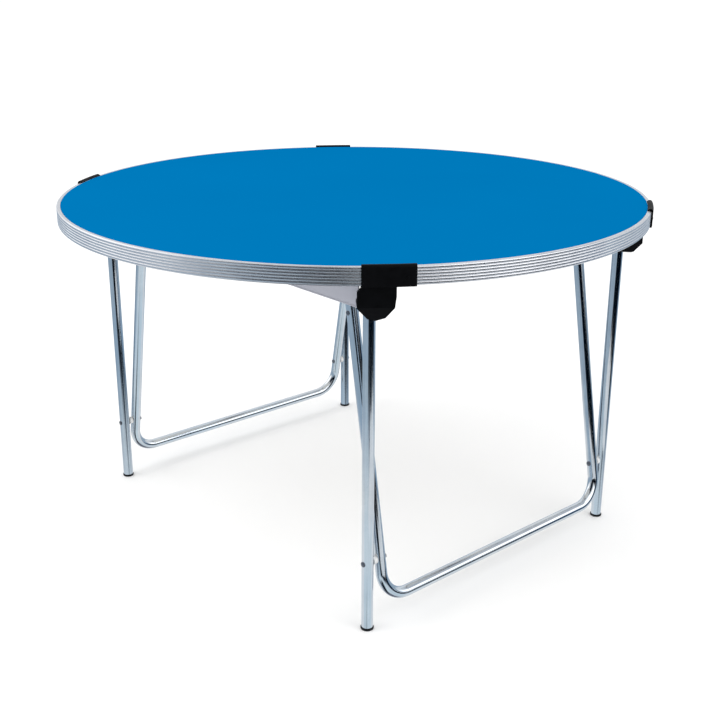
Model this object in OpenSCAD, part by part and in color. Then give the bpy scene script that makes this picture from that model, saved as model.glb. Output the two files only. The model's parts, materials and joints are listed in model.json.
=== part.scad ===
// Round folding table: a laminated top in a ribbed aluminium edging, two side rails,
// and two leg frames that fold flat between the rails, frame a above frame b.
// Origin: centre of the footprint, on the floor. +Z is up, +X points to end a.
// Each leg frame is a U-shaped stay pivoted in brackets under the board, and two
// straight legs riveted to it. The leg tops seat in the corner housings when open.

/* [Table top] */
// Diameter over the edging
top_d = 1220; // [1200:10:1260]
// Height of the work surface above the floor
table_h = 708; // [660:2:740]
// Depth of the aluminium edging
edge_h = 32; // [30:1:36]
// Width of the edging's flange on top of the board
flange_w = 8; // [7:0.5:10]
// Thickness of the decorative laminate and of the flange
laminate_t = 1.2; // [1:0.1:1.4]
// Thickness of the core board
core_t = 15; // [14:0.5:16]
// Thickness of the balancing laminate under the core
backing_t = 0.8; // [0.6:0.1:1]

/* [Edging] */
// Number of ribs round the edging
rib_count = 6; // [4:1:8]
// Depth of the grooves between the ribs
rib_depth = 0.9; // [0.5:0.1:1.2]

/* [Leg frames] */
// Outside diameter of every tube
tube_d = 22; // [20:1:23]
// Wall of every tube
tube_wall = 1.5; // [1.2:0.1:2]
// Distance of a leg from the middle of the table, along X
leg_x = 432; // [428:1:436]
// Distance of a leg from the middle of the table, along Y
leg_y = 343; // [342:1:344]
// Height of the rivet that joins leg and stay
rivet_z = 138; // [125:1:150]
// Distance of a stay pivot from the middle of the table, along X
stay_x = 341; // [336:1:348]
// Distance of a stay arm from the middle of the table, along Y
stay_y = 313; // [312:1:313]
// Height of the middle of the stay's floor bar
bar_z = 53; // [46:1:56]
// Bend radius of the stay, to the middle of the tube
bend_r = 56; // [50:1:68]
// Height between the two folded frames
level_step = 27; // [26:0.5:30]

/* [Rails] */
// Thickness of the rail's web and flange
rail_t = 2.5; // [2:0.1:2.8]
// Height of the rail's lower edge below the work surface
rail_drop = 84; // [80:1:86]
// Half the length of a rail
rail_half = 426; // [425:1:428]

/* [Corner fittings] */
// Angle of each corner cap from the X axis
cap_angle = 35.8; // [35:0.1:36.5]
// Length of a corner cap along the rim
cap_len = 90; // [80:1:100]
// Height of a cap above the work surface
cap_rise = 4; // [3:0.5:5]
// Wall of a cap outside the rim
cap_wall = 3.5; // [3:0.1:4]
// Height of the housing's lowest face below the work surface
housing_drop = 101; // [98:1:103]

/* [Hidden] */

$fn = 96;
A = 1;                   // end a, at +X
B = -1;                  // end b, at -X
FRONT = -1;              // the side at -Y
BACK = 1;                // the side at +Y
both = [FRONT, BACK];
far = 1000;              // longer than any part, for cutting tools

// Table top
rim_r = top_d / 2;
core_top = table_h - laminate_t;
under_z = core_top - core_t - backing_t;     // underside of the board
edge_z = table_h - edge_h;                   // bottom of the edging
edge_wall = 2.6;                             // edging wall, from rib crest to inner face
shelf_w = 10;                                // reach of the shelf under the board
lip_w = 7;                                   // reach of the edging's bottom lip
edge_thin = 1.5;                             // thickness of shelf and lip
seat_gap = 0.2;                              // gap between the board's edge and the edging
rib_steps = 8;                               // points along one rib
rib_top_margin = 1;                          // from the edging's top to its first rib
rib_low_margin = 0.5;                        // from its last rib to its bottom
edge_top_round = 1.8;                        // how far the top and bottom corners are drawn in
edge_low_round = 1.4;
splice_half = 2.4;                           // half the angle of a splice plate, in degrees
splice_t = 1.8;
splice_gap = 0.1;                            // clearance behind the edging's wall
splice_margin = 0.5;                         // clearance above and below the plate

// Leg frames
tube_r = tube_d / 2;
bore_r = tube_r - tube_wall;
swivel_drop = 17;                            // from the bracket's base to the upper pivot
bracket_t = 2.5;
pivot_z_a = under_z - bracket_t - swivel_drop;
pivot_z_b = pivot_z_a - level_step;
tube_end = 10;                               // stay tube beyond its pivot
foot_h = 5;
foot_r = tube_r + 1.5;
foot_bevel = 1.2;
plug_bevel = 1;
plug_cap = 4;                                // thickness of a leg's top plug above the tube
plug_in = 20;                                // length of foot and plug inside the tube
plug_gap = 0.05;                             // clearance of inserts in the tubes
leg_top_z = under_z - 26;                    // top of the leg's plug
rivet_r = 4;
pin_r = 5;
hole_gap = 0.05;                             // running clearance of pins and rivets
side_gap = 0.1;                              // clearance at the sides of washers and spacers
head_h = 2;                                  // thickness of rivet heads
head_flare = 1.2;                            // how far a rivet's or pin's head stands out
head_taper = 0.5;                            // by how much a rivet's head ends inside its shank
rivet_stand = 0.5;                           // the inner head's distance from the stay
pin_head_h = 1.6;
washer_w = 4;                                // width of the rings of washers and spacers
sleeve_len = 110;                            // sleeve inside each stay arm's top
sleeve_wall = 2;
sleeve_rivet_at = 82;                        // from the stay pivot, down the arm
sleeve_rivet_r = 2.5;
sleeve_head_h = 1.6;
sleeve_head_r = sleeve_rivet_r + 2;
sleeve_head_sink = 0.4;                      // how deep the head's edge lies below the tube's crest

// Rails
rail_z = table_h - rail_drop;
web_in = leg_y + 17;                         // inner face of the rail's web
web_out = web_in + rail_t;                   // outer face of the rail's web
rail_flange = 26;                            // width of the flange, web included
bead = 0.8;                                  // how far the lower hem stands out each side
bead_h = 2;
screw_y = web_out + 12;
screw_xs = [50, 160, 270, 380];
screw_r = 2.2;
screw_head_r = 4.5;
screw_head_h = 2;
screw_len = 10;                              // screw thread inside the board

// Housings, in a frame turned so that its X is radial at the leg
leg_angle = atan(leg_y / leg_x);
housing_z = table_h - housing_drop;
housing_in = 16;                             // from the leg towards the middle
housing_r = rim_r - 12;                      // outer limit, inside the edging
slot_gap = 1.3;                              // side clearance of the leg in its slot
slot_head = 0.3;                             // clearance above the leg in its slot
tab_t = 3;                                   // thickness of the screw tab
tab_from = 50;                               // the tab's reach from the leg towards the middle
tab_to = 8;
tab_w = 26;
tab_screws = [42, 28];                       // screws of the tab, from the leg
pocket_wall = 3.5;
side_near = 15;                              // the block's reach from the leg, away from the cap
side_flank = 23;                             // the same at its outer flank and low down
side_cap = 42;                               // the block's reach from the leg, towards the cap
flank_depth = 8;                             // thickness of the outer flank, along the radius
neck_z = table_h - 37;                       // where the outer flank starts to widen
shoulder_z = table_h - 46;                   // where it has widened
waist_z = table_h - 68;                      // below this the whole block has the flank's width
pocket_z = housing_z + 39;                   // floor of the hollow behind the leg's seat
fit_gap = 0.1;                               // clearance between a rail's end and its housing

// Corner caps and their rivets
cap_lip = 1.5;                               // thickness of a cap's lower lip
cap_hook = 8;                                // the lower lip's reach under the edging
cap_gap = 0.1;                               // clearance of a cap on the edging
cap_seat = 0.05;                             // clearance above the work surface
cap_inner_h = 1.2;                           // height of a cap's inner edge
cap_ramp = 5;                                // width of the slope from there to the crown
cap_ramp_round = 1.5;                        // width and depth of the slope's softened end
cap_ramp_dip = 0.4;
cap_round = [4.5, 5.5];                      // width and depth of the crown's outer rounding
cap_round_steps = 3;
cap_bevel = 1;
cap_rivet_r = 1.6;
cap_rivet_head_r = 2.4;
cap_rivet_head_h = 0.7;
cap_rivet_top_r = 1.4;
cap_rivet_back = 0.1;                        // the rivet's reach behind the edging's wall
cap_rivet_z = edge_z + 14;
cap_rivet_in = 15.5;                         // from the cap's end to its rivet

// Brackets
ear_gap = tube_r + 1.8;                      // from the arm's middle to an ear's inner face
ear_r = 13;                                  // round end of an ear, about its pivot
bracket_len = 64;
bracket_screw_x = 25;

// Clips that hold the folded frames
clip_w = 24;
clip_wall = 3;
clip_gap = 0.4;
clip_grip = 4;                               // how far the jaws reach past the tube's middle
recess = screw_head_h + 0.6;                 // depth of a clip's screw recess

function lean(pz) = atan((leg_x - stay_x) / (pz - rivet_z));
function bar_reach(pz) = (pz - bar_z) / cos(lean(pz));
function pivot_z(end) = end == A ? pivot_z_a : pivot_z_b;

// ---------------------------------------------------------------- table top

module disc(r, z, h) {
    translate([0, 0, z]) cylinder(r = r, h = h);
}

module top_laminate() {
    color("#007ac1") disc(rim_r - flange_w - seat_gap, core_top, laminate_t);
}

module core_board() {
    color("#c9a878") disc(rim_r - edge_wall - seat_gap, under_z + backing_t, core_t);
}

module backing_laminate() {
    color("#e6e4de") disc(rim_r - edge_wall - seat_gap, under_z, backing_t);
}

// Outline of the edging's outer face, from its top edge to its bottom edge.
function rib_points() =
    let (top = table_h - rib_top_margin, low = edge_z + rib_low_margin, pitch = (top - low) / rib_count)
    [for (i = [0 : rib_count * rib_steps])
        [rim_r - rib_depth + rib_depth * abs(sin(180 * i / rib_steps)), top - pitch * i / rib_steps]];

module edging_section() {
    inner = rim_r - edge_wall;
    polygon(concat(
        [[rim_r - flange_w, core_top], [rim_r - flange_w, table_h], [rim_r - edge_top_round, table_h]],
        rib_points(),
        [[rim_r - edge_low_round, edge_z], [rim_r - lip_w, edge_z], [rim_r - lip_w, edge_z + edge_thin],
         [inner, edge_z + edge_thin], [inner, under_z - edge_thin],
         [rim_r - shelf_w, under_z - edge_thin], [rim_r - shelf_w, under_z],
         [inner, under_z], [inner, core_top]]));
}

// Half of the edging, between the two joints that lie under opposite corner caps.
module edging(side) {
    joint_gap = 0.05;
    start = -cap_angle + (side == BACK ? 0 : 180) + joint_gap;
    color("#c9ccd1")
        difference() {
            rotate([0, 0, start])
                rotate_extrude(angle = 180 - 2 * joint_gap) edging_section();
            for (end = [A, B], where = both) cap_rivet_hole(end, where);
        }
}

// A flat plate behind the edging's wall at each joint.
module edging_splices() {
    low = edge_z + edge_thin + splice_margin;
    high = under_z - edge_thin - splice_margin;
    color("#9fa3a8")
        for (turn = [0, 180])
            rotate([0, 0, turn - cap_angle - splice_half])
                rotate_extrude(angle = 2 * splice_half)
                    translate([rim_r - edge_wall - splice_gap - splice_t, low]) square([splice_t, high - low]);
}

// ------------------------------------------------------------ corner fittings

// Quarter of an ellipse that rounds the corner [r, z], from its top to its side.
function rounding(r, z, size, steps) =
    [for (i = [0 : steps]) let (turn = 90 * i / steps)
        [r - size[0] * (1 - sin(turn)), z - size[1] * (1 - cos(turn))]];

module cap_section() {
    r_in = rim_r - flange_w + cap_gap;
    r_out = rim_r + cap_wall;
    z_seat = table_h + cap_seat;
    z_top = table_h + cap_rise;
    z_low = edge_z - cap_lip;
    polygon(concat(
        [[r_in, z_seat], [r_in, table_h + cap_inner_h],
         [r_in + cap_ramp - cap_ramp_round, z_top - cap_ramp_dip], [r_in + cap_ramp, z_top]],
        rounding(r_out, z_top, cap_round, cap_round_steps),
        [[r_out, z_low + cap_bevel], [r_out - cap_bevel, z_low],
         [rim_r - cap_hook, z_low], [rim_r - cap_hook, edge_z - cap_gap],
         [rim_r + cap_gap, edge_z - cap_gap], [rim_r + cap_gap, z_seat]]));
}

// Places children at a corner cap's rivet, with Z pointing out from the middle of the table.
module at_cap_rivet(end, side) {
    turn = cap_angle - (cap_len / 2 - cap_rivet_in) / rim_r * 180 / PI;
    scale([end, side, 1]) rotate([0, 0, turn]) translate([0, 0, cap_rivet_z]) rotate([0, 90, 0]) children();
}

module cap_rivet_hole(end, side) {
    at_cap_rivet(end, side)
        translate([0, 0, rim_r - edge_wall - 1])
            cylinder(r = cap_rivet_r + hole_gap, h = edge_wall + 2 * cap_wall);
}

module corner_cap(end, side) {
    half = cap_len / rim_r * 90 / PI;
    color("#15181d")
        difference() {
            scale([end, side, 1])
                rotate([0, 0, cap_angle - half])
                    rotate_extrude(angle = 2 * half) cap_section();
            cap_rivet_hole(end, side);
        }
}

// One plastic push rivet holds each cap to the edging.
module cap_rivets() {
    from = rim_r - edge_wall - cap_rivet_back;
    color("#15181d")
        for (end = [A, B], side = both)
            at_cap_rivet(end, side) {
                translate([0, 0, from]) cylinder(r = cap_rivet_r, h = rim_r + cap_wall - from);
                translate([0, 0, rim_r + cap_wall])
                    cylinder(r1 = cap_rivet_head_r, r2 = cap_rivet_top_r, h = cap_rivet_head_h);
            }
}

// Places children at end a, back side, in a frame whose origin is the leg's axis
// and whose X axis is radial. Y points towards the cap.
module at_leg_radial() {
    translate([leg_x, leg_y, 0]) rotate([0, 0, leg_angle]) mirror([0, 1, 0]) children();
}

// The housing's outline across the radius, from its top edge round by the leg's side.
function housing_outline() = [
    [-side_near, under_z], [-side_near, neck_z], [-side_flank, shoulder_z],
    [-side_flank, housing_z + 27], [-5, housing_z + 4], [8, housing_z],
    [25, housing_z + 6], [side_cap - 2.5, housing_z + 28], [side_cap, housing_z + 47], [side_cap, under_z]];

module housing_block() {
    rise_from = 26;
    rise_angle = 55;
    block_len = 100;
    reach = housing_r - sqrt(leg_x * leg_x + leg_y * leg_y);
    difference() {
        translate([-housing_in, 0, 0]) rotate([90, 0, 90]) linear_extrude(block_len) polygon(housing_outline());
        // The underside rises towards the rim.
        translate([rise_from, -far / 2, housing_z]) rotate([0, -rise_angle, 0])
            translate([0, 0, -far]) cube(far);
        // The upper part is narrower behind the outer flank.
        translate([reach - flank_depth - far, -side_near - far, waist_z]) cube(far);
    }
}

// Space that the leg needs: a round seat, open downwards and towards the middle.
module leg_slot() {
    half = tube_r + slot_gap;
    top = leg_top_z + slot_head;
    translate([leg_x, leg_y, 0]) cylinder(r = half, h = top);
    translate([leg_x - far, leg_y - half, 0]) cube([far, 2 * half, top]);
}

// Hollow of the moulding between the leg's seat and the rim, closed by the board.
module housing_pocket() {
    intersection() {
        at_leg_radial()
            translate([tube_r + 6, pocket_wall - side_near, pocket_z])
                cube([far, side_near + side_cap - 2 * pocket_wall, far]);
        cylinder(r = housing_r - pocket_wall, h = far);
    }
}

// Flat lug on the board, towards the middle of the table.
module housing_tab() {
    translate([leg_x - tab_from, leg_y - tab_w / 2, under_z - tab_t])
        cube([tab_from - tab_to, tab_w, tab_t]);
}

module housing(end, side) {
    color("#101216")
        scale([end, side, 1])
            difference() {
                union() {
                    intersection() {
                        at_leg_radial() housing_block();
                        cylinder(r = housing_r, h = under_z);
                    }
                    housing_tab();
                }
                leg_slot();
                housing_pocket();
                // Slot for the end of the rail.
                translate([-far + rail_half + fit_gap, web_in - bead - fit_gap, rail_z - fit_gap])
                    cube([far, rail_t + 2 * (bead + fit_gap), far]);
                for (x = tab_screws)
                    translate([leg_x - x, leg_y, under_z - tab_t - 1]) cylinder(r = screw_r, h = tab_t + 2);
            }
}

module screw(thread) {
    cylinder(r = screw_r, h = thread);
    translate([0, 0, -screw_head_h]) cylinder(r1 = screw_head_r - 1, r2 = screw_head_r, h = screw_head_h);
}

module housing_screws() {
    color("#aab0b6")
        for (end = [A, B], side = both, x = tab_screws)
            translate([end * (leg_x - x), side * leg_y, under_z - tab_t]) screw(tab_t + screw_len);
}

// ---------------------------------------------------------------------- rails

module rail_section() {
    translate([web_in, rail_z]) square([rail_t, under_z - rail_z]);
    translate([web_in, under_z - rail_t]) square([rail_flange, rail_t]);
    translate([web_in - bead, rail_z]) square([rail_t + 2 * bead, bead_h]);
}

module rail(side) {
    color("#a9adb7")
        scale([1, side, 1])
            difference() {
                rotate([90, 0, 90]) translate([0, 0, -rail_half])
                    linear_extrude(2 * rail_half) rail_section();
                for (x = screw_xs, end = [A, B])
                    translate([end * x, screw_y, under_z - rail_t - 1]) cylinder(r = screw_r, h = rail_t + 2);
            }
}

module rail_screws() {
    color("#aab0b6")
        for (x = screw_xs, end = [A, B], side = both)
            translate([end * x, side * screw_y, under_z - rail_t]) screw(rail_t + screw_len);
}

// A folded plate with two ears that hold a stay's arm between them.
module bracket(end, side) {
    color("#a9adb7")
        translate([end * stay_x, side * stay_y, 0])
            difference() {
                union() {
                    translate([-bracket_len / 2, -ear_gap - bracket_t, under_z - bracket_t])
                        cube([bracket_len, 2 * (ear_gap + bracket_t), bracket_t]);
                    for (flip = both) scale([1, flip, 1]) translate([0, ear_gap, pivot_z(end)]) {
                        translate([-ear_r, 0, 0]) cube([2 * ear_r, bracket_t, under_z - pivot_z(end)]);
                        rotate([-90, 0, 0]) cylinder(r = ear_r, h = bracket_t);
                    }
                }
                translate([0, 0, pivot_z(end)]) rotate([90, 0, 0])
                    cylinder(r = pin_r + hole_gap, h = 4 * ear_gap, center = true);
                for (x = [-bracket_screw_x, bracket_screw_x])
                    translate([x, 0, under_z - bracket_t - 1]) cylinder(r = screw_r, h = bracket_t + 2);
            }
}

module bracket_screws() {
    color("#aab0b6")
        for (end = [A, B], side = both, x = [-bracket_screw_x, bracket_screw_x])
            translate([end * stay_x + x, side * stay_y, under_z - bracket_t]) screw(bracket_t + screw_len);
}

// ---------------------------------------------------------------- leg frames

// Each pin runs through both ears of its bracket, two washers and the stay's arm.
module pivot_pins(end) {
    reach = ear_gap + bracket_t;
    color("#b5bac0")
        for (side = both)
            translate([end * stay_x, side * stay_y, pivot_z(end)]) rotate([-90, 0, 0]) {
                cylinder(r = pin_r, h = 2 * reach, center = true);
                for (flip = [0, 1]) mirror([0, 0, flip])
                    translate([0, 0, reach]) cylinder(r = pin_r + head_flare, h = pin_head_h);
            }
}

// Places children in a stay's own frame: origin on its pivot axis, -Z down the arms.
module at_stay(end) {
    scale([end, 1, 1])
        translate([stay_x, 0, pivot_z(end)]) rotate([0, -lean(pivot_z(end)), 0]) children();
}

module ring(outer, inner) {
    difference() {
        circle(r = outer);
        if (inner > 0) circle(r = inner);
    }
}

module stay(end) {
    reach = bar_reach(pivot_z(end));
    arm = reach - bend_r + tube_end;
    color("#b7c3cc")
        at_stay(end)
            difference() {
                union() {
                    for (side = both) {
                        translate([0, side * stay_y, tube_end - arm]) linear_extrude(arm) ring(tube_r, bore_r);
                        scale([1, side, 1])
                            translate([0, stay_y - bend_r, bend_r - reach])
                                rotate([90, 0, 90]) rotate([0, 0, -90])
                                rotate_extrude(angle = 90) translate([bend_r, 0]) ring(tube_r, bore_r);
                    }
                    translate([0, bend_r - stay_y, -reach]) rotate([-90, 0, 0])
                        linear_extrude(2 * (stay_y - bend_r)) ring(tube_r, bore_r);
                }
                stay_holes(end);
            }
}

// The holes across a stay's arms: pivot, sleeve rivet and leg rivet.
module stay_holes(end) {
    to_rivet = (pivot_z(end) - rivet_z) / cos(lean(pivot_z(end)));
    for (hole = [[0, pin_r], [sleeve_rivet_at, sleeve_rivet_r - hole_gap], [to_rivet, rivet_r]])
        for (side = both)
            translate([0, side * stay_y, -hole[0]]) rotate([-90, 0, 0])
                translate([0, 0, -tube_r - 2]) cylinder(r = hole[1] + hole_gap, h = tube_d + 4);
}

module stay_sleeves(end) {
    color("#8f979e")
        at_stay(end)
            difference() {
                for (side = both)
                    translate([0, side * stay_y, tube_end - sleeve_len])
                        linear_extrude(sleeve_len) ring(bore_r - plug_gap, bore_r - plug_gap - sleeve_wall);
                stay_holes(end);
            }
}

module stay_sleeve_rivets(end) {
    color("#8f979e")
        at_stay(end)
            for (side = both)
                translate([0, side * stay_y, -sleeve_rivet_at]) rotate([-90, 0, 0])
                    for (flip = [0, 1]) mirror([0, 0, flip]) {
                        cylinder(r = sleeve_rivet_r, h = tube_r);
                        translate([0, 0, tube_r - sleeve_head_sink])
                            cylinder(r1 = sleeve_head_r, r2 = sleeve_rivet_r, h = sleeve_head_h);
                    }
}

// Nylon washers between the ears of the brackets and the stay's arms.
module stay_washers(end) {
    color("#e8e8e4")
        for (side = both, flip = [0, 1])
            translate([end * stay_x, side * stay_y, pivot_z(end)]) rotate([-90, 0, 0]) mirror([0, 0, flip])
                translate([0, 0, tube_r + side_gap])
                    linear_extrude(ear_gap - tube_r - 2 * side_gap) ring(pin_r + washer_w, pin_r + hole_gap);
}

module leg(end, side) {
    color("#b7c3cc")
        translate([end * leg_x, side * leg_y, 0])
            difference() {
                translate([0, 0, foot_h]) linear_extrude(leg_top_z - plug_cap - foot_h) ring(tube_r, bore_r);
                translate([0, 0, rivet_z]) rotate([90, 0, 0])
                    cylinder(r = rivet_r + hole_gap, h = tube_d + 4, center = true);
            }
}

module foot(end, side) {
    color("#14161a")
        translate([end * leg_x, side * leg_y, 0]) {
            cylinder(r1 = foot_r - foot_bevel, r2 = foot_r, h = foot_bevel);
            translate([0, 0, foot_bevel]) cylinder(r = foot_r, h = foot_h - foot_bevel);
            translate([0, 0, foot_h]) cylinder(r = bore_r - plug_gap, h = plug_in);
        }
}

module top_plug(end, side) {
    color("#14161a")
        translate([end * leg_x, side * leg_y, 0]) {
            translate([0, 0, leg_top_z - plug_cap - plug_in]) cylinder(r = bore_r - plug_gap, h = plug_in);
            translate([0, 0, leg_top_z - plug_cap]) cylinder(r = tube_r, h = plug_cap - plug_bevel);
            translate([0, 0, leg_top_z - plug_bevel])
                cylinder(r1 = tube_r, r2 = tube_r - plug_bevel, h = plug_bevel);
        }
}

// The rivets that let each leg swing on its stay.
module leg_rivets(end) {
    y_in = stay_y - tube_r - rivet_stand;
    y_out = leg_y + tube_r + side_gap;
    wide = rivet_r + head_flare;
    narrow = rivet_r - head_taper;
    color("#b5bac0")
        for (side = both)
            scale([end, side, 1])
                translate([leg_x, 0, rivet_z]) rotate([-90, 0, 0]) {
                    translate([0, 0, y_in]) cylinder(r = rivet_r, h = y_out - y_in);
                    translate([0, 0, y_out]) cylinder(r1 = wide, r2 = narrow, h = head_h);
                    translate([0, 0, y_in - head_h]) cylinder(r1 = narrow, r2 = wide, h = head_h);
                }
}

module leg_spacers(end) {
    inner = stay_y + tube_r + side_gap;
    outer = leg_y - tube_r - side_gap;
    color("#dfe3e6")
        for (side = both)
            scale([end, side, 1])
                translate([leg_x, inner, rivet_z]) rotate([-90, 0, 0])
                    linear_extrude(outer - inner) ring(rivet_r + washer_w, rivet_r + hole_gap);
}

// -------------------------------------------------------------------- clips

// A block under the board with two jaws that hold the folded stay's bar.
module clip(end) {
    pz = pivot_z(end);
    x = end * (stay_x - bar_reach(pz));
    gap_r = tube_r + clip_gap;
    low = pz - clip_grip;
    color("#14161a")
        translate([x, 0, 0])
            difference() {
                translate([-gap_r - clip_wall, -clip_w / 2, low])
                    cube([2 * (gap_r + clip_wall), clip_w, under_z - low]);
                translate([0, 0, pz]) rotate([90, 0, 0]) cylinder(r = gap_r, h = clip_w + 2, center = true);
                translate([-gap_r, -clip_w, low - 1]) cube([2 * gap_r, 2 * clip_w, clip_grip + 1]);
                translate([0, 0, pz]) cylinder(r = screw_r, h = far);
                translate([0, 0, pz]) cylinder(r = screw_head_r + 0.5, h = gap_r + recess);
            }
}

module clip_screws() {
    color("#aab0b6")
        for (end = [A, B]) {
            pz = pivot_z(end);
            seat = pz + tube_r + clip_gap + recess;
            translate([end * (stay_x - bar_reach(pz)), 0, seat])
                screw(under_z - seat + screw_len);
        }
}

top_laminate();
core_board();
backing_laminate();
edging(FRONT);  // edging_front
edging(BACK);  // edging_back
edging_splices();
corner_cap(A, FRONT);  // cap_a_front
corner_cap(A, BACK);  // cap_a_back
corner_cap(B, FRONT);  // cap_b_front
corner_cap(B, BACK);  // cap_b_back
cap_rivets();
housing(A, FRONT);  // housing_a_front
housing(A, BACK);  // housing_a_back
housing(B, FRONT);  // housing_b_front
housing(B, BACK);  // housing_b_back
rail(FRONT);  // rail_front
rail(BACK);  // rail_back
rail_screws();
housing_screws();
bracket(A, FRONT);  // bracket_a_front
bracket(A, BACK);  // bracket_a_back
bracket(B, FRONT);  // bracket_b_front
bracket(B, BACK);  // bracket_b_back
bracket_screws();
pivot_pins(A);  // pivot_pins_a
pivot_pins(B);  // pivot_pins_b
clip(A);  // clip_a
clip(B);  // clip_b
clip_screws();
stay(A);  // stay_a
stay_sleeves(A);  // stay_a_sleeves
stay_sleeve_rivets(A);  // stay_a_sleeve_rivets
stay_washers(A);  // stay_a_washers
stay(B);  // stay_b
stay_sleeves(B);  // stay_b_sleeves
stay_sleeve_rivets(B);  // stay_b_sleeve_rivets
stay_washers(B);  // stay_b_washers
leg(A, FRONT);  // leg_a_front
leg(A, BACK);  // leg_a_back
foot(A, FRONT);  // foot_a_front
foot(A, BACK);  // foot_a_back
top_plug(A, FRONT);  // top_plug_a_front
top_plug(A, BACK);  // top_plug_a_back
leg_rivets(A);  // leg_rivets_a
leg_spacers(A);  // leg_spacers_a
leg(B, FRONT);  // leg_b_front
leg(B, BACK);  // leg_b_back
foot(B, FRONT);  // foot_b_front
foot(B, BACK);  // foot_b_back
top_plug(B, FRONT);  // top_plug_b_front
top_plug(B, BACK);  // top_plug_b_back
leg_rivets(B);  // leg_rivets_b
leg_spacers(B);  // leg_spacers_b
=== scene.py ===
import json
import math

import bmesh
import bpy
from mathutils import Matrix, Vector


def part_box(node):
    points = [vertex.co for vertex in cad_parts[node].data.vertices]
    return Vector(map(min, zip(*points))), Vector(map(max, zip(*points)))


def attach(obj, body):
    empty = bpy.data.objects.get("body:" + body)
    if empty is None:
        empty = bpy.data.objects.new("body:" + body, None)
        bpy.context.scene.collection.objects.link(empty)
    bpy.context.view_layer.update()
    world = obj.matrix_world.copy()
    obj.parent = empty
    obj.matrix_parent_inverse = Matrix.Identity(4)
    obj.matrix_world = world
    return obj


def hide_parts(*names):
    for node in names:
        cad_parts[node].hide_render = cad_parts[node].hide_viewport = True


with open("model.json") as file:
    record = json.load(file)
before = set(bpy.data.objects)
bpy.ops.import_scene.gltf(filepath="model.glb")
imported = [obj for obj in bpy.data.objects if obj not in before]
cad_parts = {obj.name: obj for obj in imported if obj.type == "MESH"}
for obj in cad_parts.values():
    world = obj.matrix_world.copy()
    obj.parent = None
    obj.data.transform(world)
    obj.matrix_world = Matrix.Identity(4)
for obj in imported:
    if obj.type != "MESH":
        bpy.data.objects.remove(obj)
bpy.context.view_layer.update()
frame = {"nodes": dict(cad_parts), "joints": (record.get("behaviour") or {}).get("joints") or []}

# ------------------------------------------------------------------ dimensions
# Ends a (+X) and b (-X), sides front (-Y) and back (+Y). Lengths are in metres.

ENDS = {"a": 1, "b": -1}
SIDES = {"front": -1, "back": 1}
UP = Vector((0, 0, 1))
ALONG_Y = Vector((0, 1, 0))
TUBE_WALL = 0.0015
CAP_WALL = 0.0035
# The stays: radius of their bends, and the length of the arms beyond the pivots.
STAY_BEND = 0.056
STAY_STUB = 0.010
# The screws: radius and height of their heads.
SCREW_R = 0.0045
SCREW_T = 0.002
# What an insert is smaller than the bore it sits in, on the radius.
INSERT_GAP = 0.0001
# Points closer than this are one point.
TOUCHING = 1e-7
# Edges that turn by more than this many degrees are shaded sharp.
SHARP_ANGLE = 35


def box(node):
    """The lowest and highest corner of a CAD node's box."""
    low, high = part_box(node)
    return Vector(low), Vector(high)


def joint(name):
    """The point that a joint turns about."""
    return Vector(next(j for j in frame["joints"] if j["name"] == name)["pos_m"])


TOP_Z = box("top_laminate")[1].z
RIM_R = box("edging_back")[1].x
EDGE_Z = box("edging_front")[0].z
FLANGE_W = RIM_R - box("top_laminate")[1].x
LAMINATE_T = TOP_Z - box("top_laminate")[0].z
UNDER_Z = box("backing_laminate")[0].z
TUBE_R = (box("leg_a_front")[1].x - box("leg_a_front")[0].x) / 2


# --------------------------------------------------------------- mesh building


def new_object(name, bm):
    """The finished mesh as an object in the scene, smooth but for its sharp edges."""
    bmesh.ops.recalc_face_normals(bm, faces=bm.faces)
    mesh = bpy.data.meshes.new(name)
    bm.to_mesh(mesh)
    bm.free()
    obj = bpy.data.objects.new(name, mesh)
    bpy.context.scene.collection.objects.link(obj)
    mesh.shade_smooth()
    mesh.set_sharp_from_angle(angle=math.radians(SHARP_ANGLE))
    return obj


def on_circle(radius, angle, height):
    """A point on a circle about Z."""
    return Vector((radius * math.cos(angle), radius * math.sin(angle), height))


def quarter_turn(steps):
    """Angles from 0 to a right angle."""
    return [math.pi / 2 * i / steps for i in range(steps + 1)]


def add_turned(bm, run, profile, start=0.0, sweep=360.0, steps=64, place=None):
    """Adds a solid turned about Z from a closed outline of (radius, height) points.

    The UV map "run" holds the distance across the outline and along the turn.
    """
    whole = sweep >= 360
    place = place or Matrix.Identity(4)
    rings = []
    for i in range(steps if whole else steps + 1):
        angle = math.radians(start + sweep * i / steps)
        rings.append([bm.verts.new(place @ on_circle(r, angle, z)) for r, z in profile])
    across = [0.0]
    for here, there in zip(profile, profile[1:] + profile[:1]):
        across.append(across[-1] + math.dist(here, there))
    reach = max(radius for radius, height in profile)
    for i in range(steps):
        ahead = rings[(i + 1) % len(rings)]
        along, further = (reach * math.radians(start + sweep * k / steps) for k in (i, i + 1))
        for j in range(len(profile)):
            k = (j + 1) % len(profile)
            on_axis = [profile[j][0] < TOUCHING, profile[k][0] < TOUCHING]
            if all(on_axis):
                continue
            corners = [rings[i][j], ahead[j], ahead[k], rings[i][k]]
            left, right = across[j], across[j + 1]
            uvs = [(left, along), (left, further), (right, further), (right, along)]
            if on_axis[0]:
                corners, uvs = [corners[0], *corners[2:]], [uvs[0], *uvs[2:]]
            elif on_axis[1]:
                corners, uvs = corners[:3], uvs[:3]
            face = bm.faces.new(corners)
            for loop, uv in zip(face.loops, uvs):
                loop[run].uv = uv
    if not whole:
        bm.faces.new(rings[0])
        bm.faces.new(rings[-1])


def fresh():
    """An empty mesh under construction, with its UV map "run"."""
    bm = bmesh.new()
    return bm, bm.loops.layers.uv.new("run")


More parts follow.
